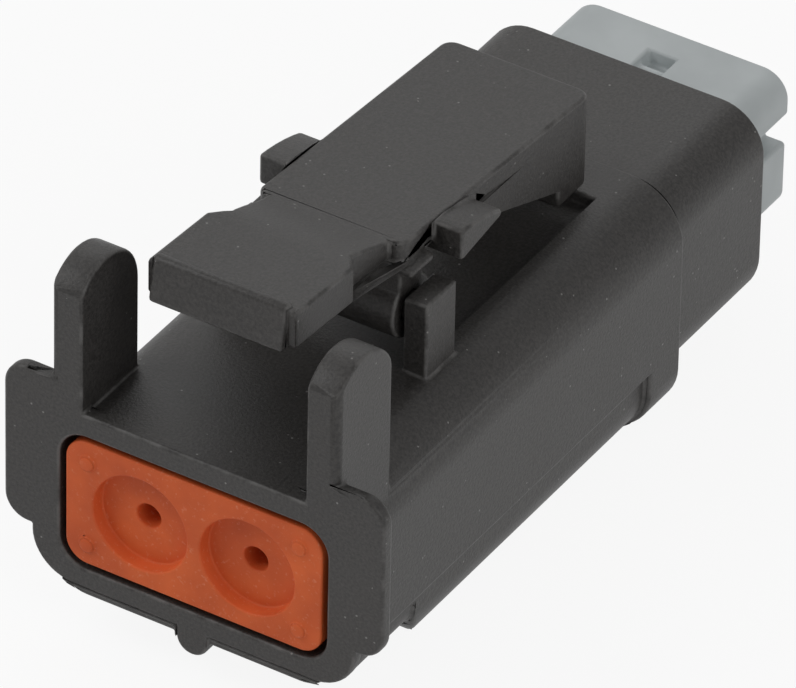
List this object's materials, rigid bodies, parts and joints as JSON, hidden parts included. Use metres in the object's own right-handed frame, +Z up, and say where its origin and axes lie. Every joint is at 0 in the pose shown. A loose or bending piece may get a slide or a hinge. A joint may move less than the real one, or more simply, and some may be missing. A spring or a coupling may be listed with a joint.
{
  "type": "sealed two-way automotive connector plug",
  "caption": "Sealed in-line wire connector plug with rear wire seal, see-saw top latch between guard posts, and a push-in wedge lock in an oval nose.",
  "frame": {"origin": "midway between the two wire entries, on the rear flange's face", "axes": "+Y along the plug towards the mating end, +Z up to the latch, +X across the plug"},
  "size_m": [0.0144, 0.0304, 0.0151],
  "materials": {
    "housing_plastic": "fine matte moulded nylon",
    "seal_rubber": "matte silicone",
    "lock_plastic": "smooth matte moulded"
  },
  "bodies": {
    "plug_body": {"housing": "housing_plastic", "rear_wire_seal": "seal_rubber", "interface_seal": "seal_rubber"},
    "latch": {"latch_lever": "housing_plastic"},
    "lock": {"wedge_lock": "lock_plastic"}
  },
  "joints": [
    {"name": "latch_pivot", "type": "hinge", "parent": "plug_body", "child": "latch", "pos_m": [0, 0.0086, 0.0055], "axis": [1, 0, 0], "range_deg": [0, 10], "stiffness_Nm_per_rad": 0.05, "springref_deg": -5.73},
    {"name": "lock_slide", "type": "slide", "parent": "plug_body", "child": "lock", "axis": [0, 1, 0], "range_m": [0, 0.007]}
  ]
}
